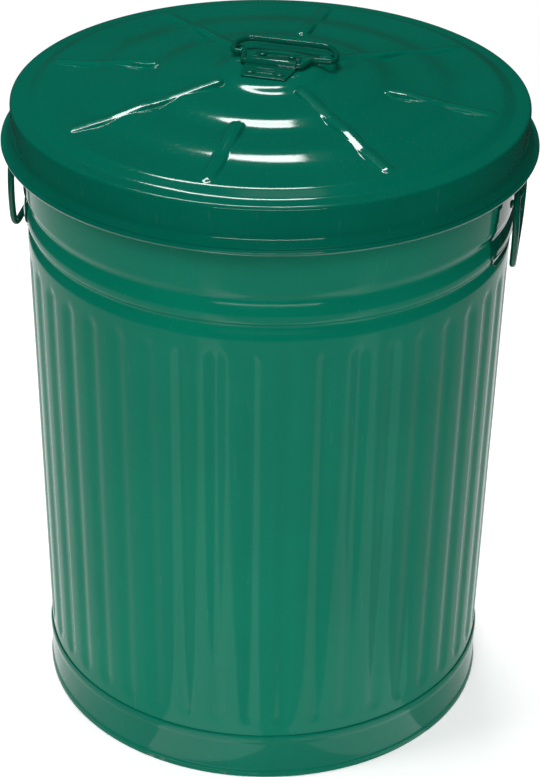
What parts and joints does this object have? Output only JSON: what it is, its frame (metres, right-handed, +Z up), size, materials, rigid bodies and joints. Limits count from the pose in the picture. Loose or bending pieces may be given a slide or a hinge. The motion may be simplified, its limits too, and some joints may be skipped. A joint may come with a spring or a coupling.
{
  "type": "dustbin",
  "caption": "Round fluted steel dustbin with a lift-off ribbed lid, a folding wire bail on the lid and a drop handle on each side, for holding waste",
  "frame": {"origin": "on the floor, at the middle of the foot, on the body's axis", "axes": "+Z up along the body's axis, X through the two side handles, -Y towards the front"},
  "size_m": [0.4994, 0.4994, 0.6604],
  "materials": {
    "wall_paint": "gloss",
    "hoop_paint": "gloss",
    "lid_paint": "gloss",
    "fitting_paint": "gloss",
    "inner_paint": "satin",
    "wire_steel": "drawn"
  },
  "bodies": {
    "body": {"body_shell": "wall_paint", "rim_wire": "wire_steel", "base_pan": "inner_paint", "foot_hoop": "hoop_paint", "right_handle_plate": "fitting_paint", "left_handle_plate": "fitting_paint", "right_plate_rivet_front": "fitting_paint", "right_plate_rivet_rear": "fitting_paint", "left_plate_rivet_front": "fitting_paint", "left_plate_rivet_rear": "fitting_paint"},
    "right_handle": {"right_handle_loop": "fitting_paint"},
    "left_handle": {"left_handle_loop": "fitting_paint"},
    "lid": {"lid_shell": "lid_paint", "lid_edge_wire": "wire_steel", "lid_clip": "fitting_paint", "clip_rivet_front_left": "fitting_paint", "clip_rivet_front_right": "fitting_paint", "clip_rivet_rear_left": "fitting_paint", "clip_rivet_rear_right": "fitting_paint"},
    "bail": {"lid_bail": "fitting_paint"}
  },
  "joints": [
    {"name": "lid_lift", "type": "slide", "parent": "body", "child": "lid", "axis": [0, 0, 1], "range_m": [0, 0.15]},
    {"name": "bail_hinge", "type": "hinge", "parent": "lid", "child": "bail", "pos_m": [0, 0, 0.6558], "axis": [0.9945, -0.1045, 0], "range_deg": [0, 180]},
    {"name": "right_handle_hinge", "type": "hinge", "parent": "body", "child": "right_handle", "pos_m": [0.23485, 0, 0.565], "axis": [0, -1, 0], "range_deg": [0, 140]},
    {"name": "left_handle_hinge", "type": "hinge", "parent": "body", "child": "left_handle", "pos_m": [-0.23485, 0, 0.565], "axis": [0, 1, 0], "range_deg": [0, 140]}
  ]
}
